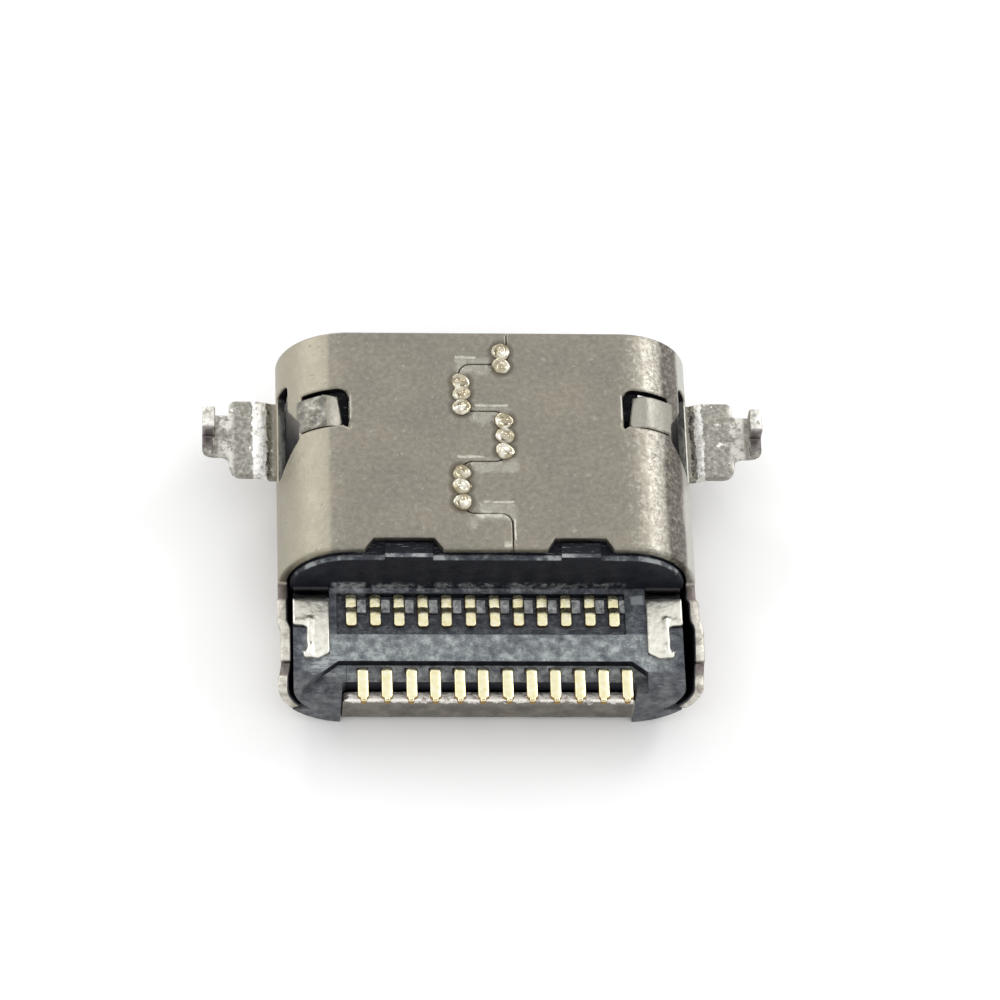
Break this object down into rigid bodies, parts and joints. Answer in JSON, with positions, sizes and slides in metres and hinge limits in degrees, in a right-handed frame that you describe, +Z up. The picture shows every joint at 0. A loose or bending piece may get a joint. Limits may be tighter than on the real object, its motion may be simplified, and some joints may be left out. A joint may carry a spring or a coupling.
{
  "type": "usb-c socket",
  "caption": "Board socket for a small reversible plug: rolled steel shell with solder ears, moulded tongue and two rows of gold contacts.",
  "frame": {"origin": "middle of the socket's outline seen from above, at the flat of the shell that it lies on", "axes": "+Z up, towards the solder side; +Y out of the mouth; +X across, along the rows of contacts"},
  "size_m": [0.012, 0.008, 0.0031],
  "materials": {
    "shell_steel": "matte, slightly pitted stamped sheet",
    "black_plastic": "moulded, scuffed on the shelf",
    "plate_steel": "bright stamped plate",
    "contact_gold": "thin gold plating"
  },
  "bodies": {
    "root": {"shell": "shell_steel", "housing": "black_plastic", "board_row_block": "black_plastic", "floor_row_block": "black_plastic", "mid_plate": "plate_steel", "board_side_shield": "plate_steel", "floor_side_shield": "plate_steel", "board_contact_01": "contact_gold", "board_contact_02": "contact_gold", "board_contact_03": "contact_gold", "board_contact_04": "contact_gold", "board_contact_05": "contact_gold", "board_contact_06": "contact_gold", "board_contact_07": "contact_gold", "board_contact_08": "contact_gold", "board_contact_09": "contact_gold", "board_contact_10": "contact_gold", "board_contact_11": "contact_gold", "board_contact_12": "contact_gold", "floor_contact_01": "contact_gold", "floor_contact_02": "contact_gold", "floor_contact_03": "contact_gold", "floor_contact_04": "contact_gold", "floor_contact_05": "contact_gold", "floor_contact_06": "contact_gold", "floor_contact_07": "contact_gold", "floor_contact_08": "contact_gold", "floor_contact_09": "contact_gold", "floor_contact_10": "contact_gold", "floor_contact_11": "contact_gold", "floor_contact_12": "contact_gold"}
  },
  "joints": []
}
